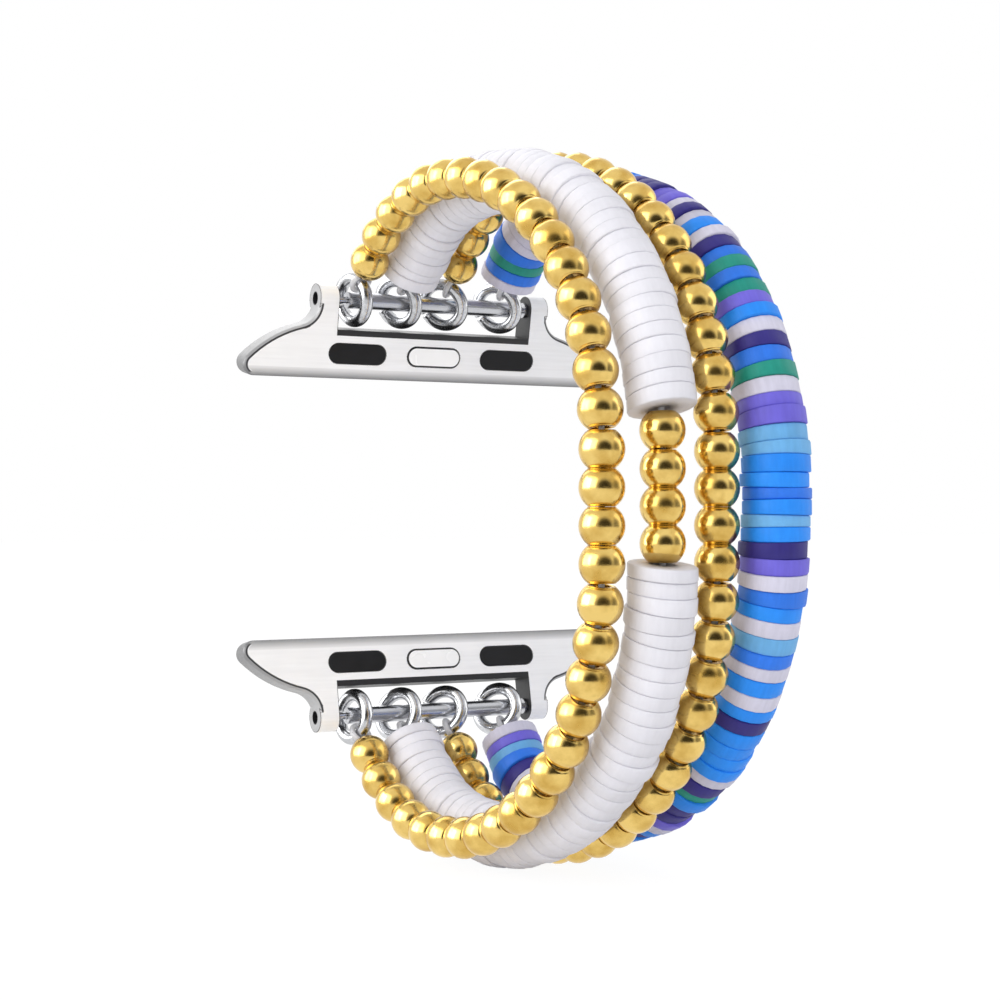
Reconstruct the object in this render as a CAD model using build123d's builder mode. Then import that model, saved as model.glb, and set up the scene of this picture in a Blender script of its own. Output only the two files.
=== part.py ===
"""Bead watch band: four elastic strands of beads and clay discs between two slide connectors.

The band stands as an upright loop. X runs across the band, -Y is the back of the wrist loop, +Y the watch
side, and +Z is up. The origin is the middle of the band's bounding box, and the upper and lower halves mirror
each other. Lengths are in millimetres and angles in degrees.
"""
import math
import os
from dataclasses import dataclass

from build123d import *

# Loop: the two spring bars lie this far above and below the middle
pin_height = 16.3
connector_tilt = 11.0

# Slide connector: X across the band, Y from the spring bar to the slide edge, Z through the plate
slide_length = 32.0
slide_reach = 6.1
plate_thickness = 2.3
notch_span = 17.0
ear_width = 1.6
notch_floor = 2.25
ear_bend_radius = 1.8
ear_bend_turn = 75.0
slide_corner_radius = 0.9
slide_end_slope = 46.0
slide_edge_radius = 0.7
inner_edge_radius = 0.35

# Rubber pads pressed into the inner face of each connector
pad_length = 4.9
pad_width = 1.6
pad_depth = 0.8
pad_pitch = 6.65
pad_row = 4.1
pad_proud = 0.06
pad_edge_radius = 0.1

# Lock button, its spring and the cover that holds both in the plate
button_length = 4.7
button_width = 1.6
button_proud = 0.1
button_edge_radius = 0.12
button_lip = 0.5
button_flange = 0.35
button_flange_margin = 0.35
button_travel = 0.45
button_spring_radius = 0.55
button_spring_wire = 0.14
button_spring_turns = 3
cover_thickness = 0.35
cover_margin = 0.2
cover_peg_radius = 0.35

# Spring bar: a tube with a sprung tip in each end
bar_radius = 0.65
bar_bore_radius = 0.45
bar_end_wall = 0.3
tip_radius = 0.45
tip_engagement = 0.75
tip_travel = 0.8
tip_neck_radius = 0.25
tip_head_length = 0.8
tip_shoulder_radius = 0.62
tip_shoulder_length = 0.2
tip_point_chamfer = 0.12
bar_spring_wire = 0.15
bar_spring_turns = 14

# Coil springs are swept with this many flats round the wire
wire_flats = 12

# Split rings that join the strands to the spring bars, their centres a little towards the strands
ring_radius = 2.2
ring_wire_radius = 0.5
ring_offset = 0.12
ring_seam = 0.12
ring_seam_angle = 215.0

# Elastic cord, with an eye round each ring and a knot inside the end bead
cord_radius = 0.22
knot_radius = 0.4

# Round gold beads, flat where the hole comes out
bead_radius = 1.5
bead_length = 2.4
bead_hole_radius = 0.5

# Flat clay discs
disc_radius = 2.3
disc_thickness = 0.85
disc_hole_radius = 0.55
disc_edge_radius = 0.1

# Gaps: between sliding faces, between fixed faces, and between neighbours on a strand
running_gap = 0.04
seat_gap = 0.02
strand_gap = 0.02

# How far a cutting shape runs past the plate, and how closely an edge is matched when it is picked
cut_overrun = 1.0
pick_tolerance = 0.01


@dataclass(frozen=True)
class Strand:
    """One strand's place and the shape of its loop.

    pin_x and back_x are its places along the spring bars and at the back. It rises above the spring bar by
    rise, and reaches back by beyond more than the bars' height, so the loop stays round when the bars move
    apart. It leaves the ring at start_angle above level, runs straight for start_run, bends level, and goes
    over in a wide bend to a straight back that reaches half_back above and below the middle. ring_twist turns
    its rings about its first run.
    """

    pin_x: float
    back_x: float
    beyond: float
    rise: float
    start_angle: float
    start_run: float
    half_back: float
    ring_twist: float

    @property
    def depth(self):
        """How far the strand reaches back from the spring bars."""
        return pin_height + self.beyond

    @property
    def wide_radius(self):
        """Radius of the bend from the level run to the straight back."""
        return pin_height + self.rise - self.half_back


left_gold = Strand(-6.9, -4.5, 17.1, 7.4, 45.0, 4.9, 3.5, 11.0)
white = Strand(-3.0, -0.1, 17.4, 7.5, 47.0, 4.4, 3.9, 28.0)
inner_gold = Strand(0.95, 3.85, 17.8, 8.4, 50.0, 4.9, 4.3, 38.0)
coloured = Strand(5.9, 8.3, 18.1, 6.6, 52.0, 4.4, 1.5, 36.0)
strands = {"left_gold": left_gold, "white": white, "inner_gold": inner_gold, "coloured": coloured}

# The white strand's gold beads sit a little above the middle of the back
middle_bead_count = 4
middle_bead_lift = 1.25

# Colours of the last strand, read from the upper ring to the lower ring
upper_run = "grey blue green blue grey grey blue green blue"
crown_run = "navy grey bright violet blue grey green navy bright blue navy navy navy violet violet grey"
shoulder_run = "navy grey bright grey navy blue green blue green violet bright grey navy blue green grey"
back_run = "violet violet sky sky bright bright blue bright sky bright navy violet grey blue bright grey"
heel_run = "sky blue grey bright grey bright navy bright bright bright bright grey navy green bright"
keel_run = "navy navy violet grey bright navy bright blue green grey blue sky bright navy grey violet"
lower_run = "bright bright bright grey navy blue sky violet grey"
colour_runs = [upper_run, crown_run, shoulder_run, back_run, heel_run, keel_run, lower_run]
disc_colours = " ".join(colour_runs).split()

# Places that follow from the sizes above
half_plate = plate_thickness / 2
flange_back = button_lip + running_gap + button_flange - half_plate
cover_inside = half_plate - cover_thickness
cover_peg_height = cover_inside - flange_back - button_travel - seat_gap
shoulder_end = notch_span / 2 - running_gap
shoulder_start = shoulder_end - tip_shoulder_length
bar_half_length = shoulder_start - tip_travel - seat_gap
bore_end = bar_half_length - bar_end_wall
tip_head_start = bore_end - seat_gap - tip_head_length
ring_centre_radius = ring_radius - ring_wire_radius
ring_front = ring_offset + ring_centre_radius
eye_radius = ring_wire_radius + running_gap + cord_radius
mouth_reach = bead_hole_radius - running_gap
first_seat = ring_front + math.sqrt((eye_radius + cord_radius) ** 2 - mouth_reach**2)
bead_face_radius = math.sqrt(bead_radius**2 - (bead_length / 2) ** 2)
tilt = math.radians(connector_tilt)
front_corner_reach = (slide_reach - slide_edge_radius) * math.sin(tilt)
front_corner_height = (half_plate - slide_edge_radius) * math.cos(tilt)
front_reach = front_corner_reach + front_corner_height + slide_edge_radius
deepest = max(strand.depth for strand in strands.values())
pin_y = (deepest + disc_radius - front_reach) / 2


def save(piece, name):
    """Label a finished piece and write its STEP file."""
    piece.label = name
    export_step(piece, f"parts/{name}.step")


def connector_plane(side):
    """Plane of a connector: X along the spring bar, Y towards the slide edge, Z out of the watch side."""
    normal = (0, math.cos(tilt), side * math.sin(tilt))
    return Plane(origin=(0, pin_y, side * pin_height), x_dir=(side, 0, 0), z_dir=normal)


def strand_plane(strand):
    """Plane of a strand: X from the spring bars towards the back, Y up."""
    drift = strand.back_x - strand.pin_x
    return Plane(
        origin=(strand.pin_x, pin_y, 0),
        x_dir=(drift, -strand.depth, 0),
        z_dir=(-strand.depth, -drift, 0),
    )


class StrandPath:
    """Centre line of a strand in its plane, from the upper spring bar over the back to the lower one."""

    def __init__(self, strand):
        """Work out the runs and bends from the strand's sizes."""
        self.plane = strand_plane(strand)
        self.heading = strand.start_angle
        angle = math.radians(strand.start_angle)
        reach = math.hypot(strand.depth, strand.back_x - strand.pin_x)
        rise = strand.rise - strand.start_run * math.sin(angle)
        rise_radius = rise / (1 - math.cos(angle))
        bends = strand.start_run * math.cos(angle) + rise_radius * math.sin(angle) + strand.wide_radius
        half = [
            (strand.start_run, 0),
            (rise_radius * angle, rise_radius),
            (reach - bends, 0),
            (strand.wide_radius * math.pi / 2, strand.wide_radius),
        ]
        back = (2 * strand.half_back, 0)
        self.pieces = half + [back] + half[::-1]
        self.length = sum(length for length, radius in self.pieces)

    def inner(self, distance, inset):
        """Length along the inner side of the bends, inset from the centre line, up to a distance."""
        total = 0
        for length, radius in self.pieces:
            covered = min(max(distance, 0), length)
            total += covered * (radius - inset) / radius if radius else covered
            distance -= length
        return total

    def centre_distance(self, inner_distance, inset):
        """Distance along the centre line up to a length measured along the inner side."""
        total = 0
        for length, radius in self.pieces:
            share = (radius - inset) / radius if radius else 1
            step = min(inner_distance / share, length)
            total += step
            inner_distance -= step * share
        return total

    def place(self, inner_distance, inset):
        """Location on the centre line, with X along it, at a length measured along the inner side."""
        x, y, heading = 0, pin_height, math.radians(self.heading)
        for length, radius in self.pieces:
            share = (radius - inset) / radius if radius else 1
            step = min(inner_distance / share, length)
            turn = step / radius if radius else 0
            chord = 2 * radius * math.sin(turn / 2) if radius else step
            x += chord * math.cos(heading - turn / 2)
            y += chord * math.sin(heading - turn / 2)
            heading -= turn
            inner_distance -= step * share
            if step < length:
                break
        return self.plane.location * Location((x, y, 0), (0, 0, math.degrees(heading)))

    def fill(self, start, end, item_length, inset):
        """Locations of as many items as fit between two distances, evenly spaced along the inner side."""
        first = self.inner(start, inset)
        room = self.inner(end, inset) - first
        count = math.floor(room / (item_length + strand_gap))
        return [self.place(first + (index + 0.5) * room / count, inset) for index in range(count)]

    def wire(self, start, end):
        """Lines and arcs of the centre line between two distances on its first and last straight runs."""
        pieces = list(self.pieces)
        pieces[0] = (pieces[0][0] - start, 0)
        pieces[-1] = (pieces[-1][0] - (self.length - end), 0)
        first = self.place(start, 0)
        with BuildLine() as line:
            spot = Vector(*first.position)
            direction = Plane(first).x_dir
            for length, radius in pieces:
                if radius:
                    turn = math.degrees(length / radius)
                    with BuildLine(Plane(spot, x_dir=direction, z_dir=self.plane.z_dir)):
                        bend = JernArc((0, 0), (1, 0), radius, -turn)
                else:
                    bend = Line(spot, spot + direction * length)
                spot = bend @ 1
                direction = bend % 1
        return line.wires()[0]


def connector_frame(side):
    """Plate with two ears for the spring bar, a notch between them and pockets for pads and button.

    Each end of the slide runs into its ear in one smooth line: the slope at the shoulder, where the two arcs
    meet, is what the bend leaves of a right angle, and the outer arc's chord has the mean of its end slopes.
    """
    plane = connector_plane(side)
    bend = math.radians(ear_bend_turn)
    slope = math.radians(slide_end_slope)
    ear_inside = notch_span / 2
    ear_edge = ear_inside + ear_width
    corner_x = slide_length / 2 - slide_corner_radius
    corner_y = slide_reach - slide_corner_radius
    corner = (
        corner_x + slide_corner_radius * math.sin(slope),
        corner_y - slide_corner_radius * math.cos(slope),
    )
    shoulder_x = ear_edge + ear_bend_radius * (1 - math.cos(bend))
    shoulder_y = corner[1] - (corner[0] - shoulder_x) * math.tan((math.pi / 2 - bend + slope) / 2)
    bend_start = (ear_edge, shoulder_y - ear_bend_radius * math.sin(bend))
    ear_middle = ear_inside + ear_width / 2
    with BuildPart() as frame:
        with BuildSketch(plane):
            with BuildLine():
                Polyline((0, notch_floor), (ear_inside, notch_floor), (ear_inside, bend_start[1]), bend_start)
                JernArc(bend_start, (0, 1), ear_bend_radius, -ear_bend_turn)
                TangentArc(corner, (shoulder_x, shoulder_y), tangent=(-math.cos(slope), -math.sin(slope)))
                CenterArc(
                    (corner_x, corner_y), slide_corner_radius, slide_end_slope - 90, 180 - slide_end_slope
                )
                Line((corner_x, slide_reach), (0, slide_reach))
                mirror(about=Plane.YZ)
            make_face()
        extrude(amount=half_plate, both=True)
        for face, radius in ((1, slide_edge_radius), (-1, inner_edge_radius)):
            fillet(frame.edges().filter_by(lambda edge: is_slide_rim(edge, plane, face)), radius)
        with BuildSketch(plane):
            with Locations((-ear_middle, bend_start[1] / 2), (ear_middle, bend_start[1] / 2)):
                Rectangle(ear_width, bend_start[1])
        extrude(amount=half_plate, both=True)
        with BuildSketch(Plane(plane.origin, x_dir=plane.y_dir, z_dir=plane.x_dir)):
            Circle(half_plate)
        extrude(amount=ear_edge, both=True)
        with BuildSketch(plane.offset(-half_plate - cut_overrun)):
            with Locations((0, notch_floor / 2 - half_plate)):
                Rectangle(notch_span, notch_floor + plate_thickness)
        extrude(amount=plate_thickness + 2 * cut_overrun, mode=Mode.SUBTRACT)
        with BuildSketch(Plane(plane.origin, x_dir=plane.y_dir, z_dir=plane.x_dir)):
            Circle(tip_radius + running_gap)
        extrude(amount=slide_length / 2, both=True, mode=Mode.SUBTRACT)
        with BuildSketch(plane.offset(-half_plate)):
            with Locations((-pad_pitch, pad_row), (pad_pitch, pad_row)):
                SlotOverall(pad_length, pad_width)
        extrude(amount=pad_depth, mode=Mode.SUBTRACT)
        with BuildSketch(plane.offset(-half_plate)):
            with Locations((0, pad_row)):
                SlotOverall(button_length, button_width)
        extrude(amount=plate_thickness, mode=Mode.SUBTRACT)
        with BuildSketch(plane.offset(-half_plate + button_lip)):
            with Locations((0, pad_row)):
                SlotOverall(*button_chamber())
        extrude(amount=plate_thickness, mode=Mode.SUBTRACT)
        with BuildSketch(plane.offset(cover_inside)):
            with Locations((0, pad_row)):
                SlotOverall(*cover_recess())
        extrude(amount=plate_thickness, mode=Mode.SUBTRACT)
    return frame.part


def is_slide_rim(edge, plane, face):
    """Whether an edge lies on the watch side (1) or the inner side (-1) and runs round the slide and its ends."""
    spot = plane.to_local_coords(edge.center())
    on_face = abs(spot.Z - face * half_plate) < pick_tolerance
    beyond_ear = abs(spot.X) > notch_span / 2 + ear_width
    return on_face and (beyond_ear or spot.Y > slide_reach - pick_tolerance)


def button_chamber():
    """Length and width of the chamber that the button's flange slides in."""
    margin = 2 * button_flange_margin
    return button_length + margin, button_width + margin


def cover_recess():
    """Length and width of the recess that the cover is pressed into."""
    length, width = button_chamber()
    return length + 2 * cover_margin, width + 2 * cover_margin


def rubber_pad(side, place):
    """Rubber pad in the left (-1) or right (+1) pocket of a connector."""
    plane = connector_plane(side)
    with BuildPart() as pad:
        with BuildSketch(plane.offset(-half_plate - pad_proud)):
            with Locations((side * place * pad_pitch, pad_row)):
                SlotOverall(pad_length - 2 * seat_gap, pad_width - 2 * seat_gap)
        extrude(amount=pad_depth + pad_proud)
        fillet(pad.faces().sort_by(plane_axis(plane))[0].edges(), pad_edge_radius)
    return pad.part


def plane_axis(plane):
    """Axis along a plane's normal, for sorting faces from the inner to the watch side."""
    return Axis(plane.origin, plane.z_dir)


def lock_button(side):
    """Metal lock button: a pill that stands through the lip, on a wider flange."""
    plane = connector_plane(side)
    flange_length, flange_width = button_chamber()
    with BuildPart() as button:
        with BuildSketch(plane.offset(-half_plate - button_proud)):
            with Locations((0, pad_row)):
                SlotOverall(button_length - 2 * running_gap, button_width - 2 * running_gap)
        extrude(amount=button_proud + button_lip + running_gap + button_flange)
        fillet(button.faces().sort_by(plane_axis(plane))[0].edges(), button_edge_radius)
        with BuildSketch(plane.offset(-half_plate + button_lip + running_gap)):
            with Locations((0, pad_row)):
                SlotOverall(flange_length - 2 * running_gap, flange_width - 2 * running_gap)
        extrude(amount=button_flange)
    return button.part


def button_cover(side):
    """Thin plate pressed into the watch side, with a peg that centres the spring and stops the button."""
    plane = connector_plane(side)
    length, width = cover_recess()
    with BuildPart() as cover:
        with BuildSketch(plane.offset(cover_inside)):
            with Locations((0, pad_row)):
                SlotOverall(length - 2 * seat_gap, width - 2 * seat_gap)
        extrude(amount=cover_thickness)
        with BuildSketch(plane.offset(cover_inside)):
            with Locations((0, pad_row)):
                Circle(cover_peg_radius)
        extrude(amount=-cover_peg_height)
    return cover.part


def coil(plane, radius, wire, turns, height):
    """Coil spring whose wire fills a height along the plane's normal, starting at the plane."""
    climb = height - wire
    with BuildPart() as spring:
        with BuildLine():
            turn = Helix(
                pitch=climb / turns,
                height=climb,
                radius=radius,
                center=plane.origin + plane.z_dir * wire / 2,
                direction=plane.z_dir,
            )
        with BuildSketch(Plane(turn @ 0, z_dir=turn % 0)):
            RegularPolygon(wire / 2, wire_flats)
        sweep(path=turn, is_frenet=True)
    return spring.part


def button_spring(side):
    """Coil between the button's flange and the cover."""
    plane = connector_plane(side)
    height = cover_inside - flange_back - 2 * seat_gap
    start = plane.from_local_coords(Vector(0, pad_row, flange_back + seat_gap))
    base = Plane(start, x_dir=plane.x_dir, z_dir=plane.z_dir)
    return coil(base, button_spring_radius, button_spring_wire, button_spring_turns, height)


def bar_profile_plane(side):
    """Plane through a spring bar: X along the bar, Y outwards."""
    return Plane(origin=(0, pin_y, side * pin_height), x_dir=(1, 0, 0), z_dir=(0, -1, 0))


def spring_bar_tube(side):
    """Spring bar tube, closed in at both ends round the necks of the tips."""
    plane = bar_profile_plane(side)
    neck = tip_neck_radius + running_gap
    with BuildPart() as tube:
        with BuildSketch(plane):
            with BuildLine():
                Polyline(
                    (0, bar_bore_radius),
                    (bore_end, bar_bore_radius),
                    (bore_end, neck),
                    (bar_half_length, neck),
                    (bar_half_length, bar_radius),
                    (0, bar_radius),
                )
                mirror(about=Plane.YZ)
            make_face()
        revolve(axis=Axis(plane.origin, plane.x_dir))
    return tube.part


def spring_bar_tip(side, place):
    """Sprung tip at the left (-1) or right (+1) end: head, neck, shoulder and pin in the ear's hole."""
    plane = bar_profile_plane(side)
    head_radius = bar_bore_radius - running_gap
    head_end = tip_head_start + tip_head_length
    point = notch_span / 2 + tip_engagement
    with BuildPart() as tip:
        with BuildSketch(plane):
            with BuildLine():
                Polyline(
                    (place * tip_head_start, 0),
                    (place * tip_head_start, head_radius),
                    (place * head_end, head_radius),
                    (place * head_end, tip_neck_radius),
                    (place * shoulder_start, tip_neck_radius),
                    (place * shoulder_start, tip_shoulder_radius),
                    (place * shoulder_end, tip_shoulder_radius),
                    (place * shoulder_end, tip_radius),
                    (place * (point - tip_point_chamfer), tip_radius),
                    (place * point, tip_radius - tip_point_chamfer),
                    (place * point, 0),
                    close=True,
                )
            make_face()
        revolve(axis=Axis(plane.origin, plane.x_dir))
    return tip.part


def spring_bar_spring(side):
    """Long coil inside the tube, between the heads of the two tips."""
    half_length = tip_head_start - seat_gap
    radius = bar_bore_radius - running_gap - bar_spring_wire / 2
    base = Plane((-half_length, pin_y, side * pin_height), x_dir=(0, 1, 0), z_dir=(1, 0, 0))
    return coil(base, radius, bar_spring_wire, bar_spring_turns, 2 * half_length)


def ring_plane(strand, side):
    """Plane of a ring: origin at its centre, X along the pull of the strand, twisted about that pull."""
    path = StrandPath(strand)
    distance = ring_offset if side > 0 else path.length - ring_offset
    here = Plane(path.place(distance, 0))
    pull = here.x_dir * side
    twist = side * strand.ring_twist
    normal = here.z_dir.rotate(Axis((0, 0, 0), pull), twist)
    return Plane(here.origin, x_dir=pull, z_dir=normal)


def split_ring(strand, side):
    """Round wire ring with a butted seam on the side away from the strand."""
    plane = ring_plane(strand, side)
    axis = Axis(plane.origin, plane.z_dir)
    seam_direction = plane.x_dir.rotate(Axis((0, 0, 0), plane.z_dir), -side * ring_seam_angle)
    gap_angle = math.degrees(ring_seam / ring_centre_radius)
    with BuildPart() as ring:
        with BuildSketch(Plane(plane.origin, x_dir=seam_direction, z_dir=seam_direction.cross(plane.z_dir))):
            with Locations((ring_centre_radius, 0)):
                Circle(ring_wire_radius)
        revolve(axis=axis, revolution_arc=360 - gap_angle)
    return ring.part


def elastic_cord(strand):
    """Elastic cord along the whole strand, with an eye round each ring and a knot in each end bead."""
    path = StrandPath(strand)
    start = ring_front + eye_radius
    knot_place = first_seat + knot_radius + running_gap
    route = path.wire(start, path.length - start)
    with BuildPart() as cord:
        with BuildSketch(Plane(route @ 0, z_dir=route % 0)):
            Circle(cord_radius)
        sweep(path=route)
        for side in (1, -1):
            ring = ring_plane(strand, side)
            wire_centre = ring.origin + ring.x_dir * ring_centre_radius
            eye = Plane(wire_centre, x_dir=ring.x_dir, z_dir=ring.y_dir)
            with Locations(eye):
                Torus(eye_radius, cord_radius)
            knot = ring.origin + ring.x_dir * (knot_place - ring_offset)
            with Locations(Plane(knot)):
                Sphere(knot_radius)
    return cord.part


def gold_bead():
    """Gold bead about the origin: a ball cut flat at both mouths of its hole, which runs along X."""
    with BuildPart() as bead:
        Sphere(bead_radius)
        Box(bead_length, 2 * bead_radius, 2 * bead_radius, mode=Mode.INTERSECT)
        with BuildSketch(Plane.YZ.offset(-bead_length)):
            Circle(bead_hole_radius)
        extrude(amount=2 * bead_length, mode=Mode.SUBTRACT)
    return bead.part


def clay_disc():
    """Clay disc about the origin, with rounded rims and a hole along X."""
    with BuildPart() as disc:
        with BuildSketch(Plane.YZ.offset(-disc_thickness / 2)):
            Circle(disc_radius)
            Circle(disc_hole_radius, mode=Mode.SUBTRACT)
        extrude(amount=disc_thickness)
        fillet(disc.edges().filter_by(GeomType.CIRCLE).group_by(SortBy.RADIUS)[-1], disc_edge_radius)
    return disc.part


def copies(item, places):
    """One group that holds a copy of an item at each place."""
    with BuildPart() as group:
        with Locations(*places):
            add(item)
    return group.part


def make_connector(side, name):
    """Write every piece of the upper (+1) or lower (-1) connector."""
    save(connector_frame(side), f"{name}_connector_frame")
    save(rubber_pad(side, -1), f"{name}_left_pad")
    save(rubber_pad(side, 1), f"{name}_right_pad")
    save(lock_button(side), f"{name}_lock_button")
    save(button_cover(side), f"{name}_button_cover")
    save(button_spring(side), f"{name}_button_spring")
    save(spring_bar_tube(side), f"{name}_spring_bar_tube")
    save(spring_bar_tip(side, -1), f"{name}_spring_bar_left_tip")
    save(spring_bar_tip(side, 1), f"{name}_spring_bar_right_tip")
    save(spring_bar_spring(side), f"{name}_spring_bar_spring")


def make_gold_strand(strand, name, bead):
    """Write the beads of a strand that holds gold beads only."""
    path = StrandPath(strand)
    places = path.fill(first_seat, path.length - first_seat, bead_length, bead_face_radius)
    save(copies(bead, places), f"{name}_beads")


def make_white_strand(bead, disc):
    """Write the white strand: discs, the gold beads at the back, each a piece of its own, and discs."""
    path = StrandPath(white)
    middle = path.inner(path.length / 2 - middle_bead_lift, bead_face_radius)
    half_group = middle_bead_count * (bead_length + strand_gap) / 2
    first = middle - half_group
    group_start = path.centre_distance(first, bead_face_radius)
    group_end = path.centre_distance(middle + half_group, bead_face_radius)
    upper = path.fill(first_seat, group_start, disc_thickness, disc_radius)
    lower = path.fill(group_end, path.length - first_seat, disc_thickness, disc_radius)
    save(copies(disc, upper), "white_upper_discs")
    save(copies(disc, lower), "white_lower_discs")
    for index in range(middle_bead_count):
        station = first + (index + 0.5) * (bead_length + strand_gap)
        save(copies(bead, [path.place(station, bead_face_radius)]), f"middle_bead_{index + 1}")


def make_coloured_strand(disc):
    """Write the coloured strand, with one group of discs for each colour."""
    path = StrandPath(coloured)
    places = path.fill(first_seat, path.length - first_seat, disc_thickness, disc_radius)
    for colour in sorted(set(disc_colours)):
        chosen = [place for place, its_colour in zip(places, disc_colours) if its_colour == colour]
        save(copies(disc, chosen), f"coloured_{colour}_discs")


def make_band():
    """Write the whole band."""
    os.makedirs("parts", exist_ok=True)
    for side, name in ((1, "upper"), (-1, "lower")):
        make_connector(side, name)
        for strand_name, strand in strands.items():
            save(split_ring(strand, side), f"{name}_{strand_name}_ring")
    for strand_name, strand in strands.items():
        save(elastic_cord(strand), f"{strand_name}_cord")
    bead = gold_bead()
    disc = clay_disc()
    make_gold_strand(left_gold, "left_gold", bead)
    make_gold_strand(inner_gold, "inner_gold", bead)
    make_white_strand(bead, disc)
    make_coloured_strand(disc)


make_band()
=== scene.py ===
"""Bead watch band, dressed as in the photograph: gold beads and clay discs between two slide connectors.

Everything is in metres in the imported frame: X across the band, +Y towards the watch, +Z up. The strands follow
the same runs and bends as the solids. Sizes in the classes are in millimetres, as a maker writes them down.
"""

import logging
import math
from dataclasses import dataclass
from enum import Enum

import bmesh
import bpy
import numpy as np
from bpy.types import ID, Material, Node, NodeSocket, Object
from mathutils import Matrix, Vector


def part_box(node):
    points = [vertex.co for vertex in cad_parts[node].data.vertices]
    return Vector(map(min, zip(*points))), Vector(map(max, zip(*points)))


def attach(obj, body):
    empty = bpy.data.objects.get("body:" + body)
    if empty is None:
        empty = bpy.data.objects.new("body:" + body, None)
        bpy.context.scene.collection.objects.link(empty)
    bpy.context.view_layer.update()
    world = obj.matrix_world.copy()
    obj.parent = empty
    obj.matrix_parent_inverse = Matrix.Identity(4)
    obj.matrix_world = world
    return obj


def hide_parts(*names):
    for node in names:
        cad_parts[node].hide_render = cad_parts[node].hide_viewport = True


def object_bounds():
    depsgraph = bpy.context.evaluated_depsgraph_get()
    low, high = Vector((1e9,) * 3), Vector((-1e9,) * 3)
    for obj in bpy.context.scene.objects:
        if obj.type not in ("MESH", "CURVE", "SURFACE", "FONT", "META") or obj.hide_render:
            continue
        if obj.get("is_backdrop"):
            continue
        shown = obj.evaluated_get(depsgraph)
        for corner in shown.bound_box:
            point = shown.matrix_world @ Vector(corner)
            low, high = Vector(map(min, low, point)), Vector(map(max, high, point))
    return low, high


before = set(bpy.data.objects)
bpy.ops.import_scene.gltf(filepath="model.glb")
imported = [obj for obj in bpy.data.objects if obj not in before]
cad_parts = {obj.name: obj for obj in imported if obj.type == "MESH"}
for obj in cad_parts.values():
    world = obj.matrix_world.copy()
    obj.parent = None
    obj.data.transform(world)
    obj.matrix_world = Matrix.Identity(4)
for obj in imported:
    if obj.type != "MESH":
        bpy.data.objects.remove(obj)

LOG = logging.getLogger("bead_band")

Array = np.ndarray
Pair = tuple[float, float]
Triple = tuple[float, float, float]
Display = tuple[int, int, int]

MM = 0.001
WELD = 2e-7  # points of a piece that are closer than this become one, in metres
PIN_HEIGHT = 16.3  # height of the spring bars' axes above and below the middle
PIN_Y = float(sum(corner[1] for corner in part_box("upper_spring_bar_tube")) / 2 / MM)
CONNECTOR_TILT = 11.0  # lean of the connector plates, in degrees
FIRST_SEAT = 2.68533  # distance along a strand from the bar's axis to the first item's face
STRAND_GAP = 0.02  # room between neighbouring items
PATTERN_STEP = 0.37  # shift of the clay's pattern from one disc to the next
TINY = 1e-9  # keeps a division by a radius of 0 defined
ABOVE_ONE = 1.0001  # keeps the root of 1 less a cosine's square above 0
SOFT = (0.3, 0.7)  # the range that most of a noise lies in
SIDES = (1, -1)  # the upper connector and the lower one
# painted shade: the colour of the connectors' notches, holes and edge lines, and of the buttons' rims
PAINTED_SHADE_GREY = (38, 38, 40)


def linear(red: float, green: float, blue: float) -> tuple[float, float, float, float]:
    """Scene-linear colour of an 8-bit display colour.

    Args:
        red, green, blue: display values from 0 to 255.

    Returns:
        The linear red, green, blue and an alpha of 1.
    """
    shares = [value / 255 for value in (red, green, blue)]
    straight = [((s + 0.055) / 1.055) ** 2.4 if s > 0.04045 else s / 12.92 for s in shares]
    return (*straight, 1.0)


def shaded(colour: tuple[float, ...], factor: float, lift: float = 0.0) -> tuple[float, ...]:
    """A lighter or darker shade of a linear colour.

    Args:
        colour: linear red, green, blue and alpha.
        factor: multiplier of the three colours.
        lift: what is added to each of them.

    Returns:
        The shade, with colours of at most 1 and an alpha of 1.
    """
    return (*(min(1.0, part * factor + lift) for part in colour[:3]), 1.0)


# ---------------------------------------------------------------- finishes


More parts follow.
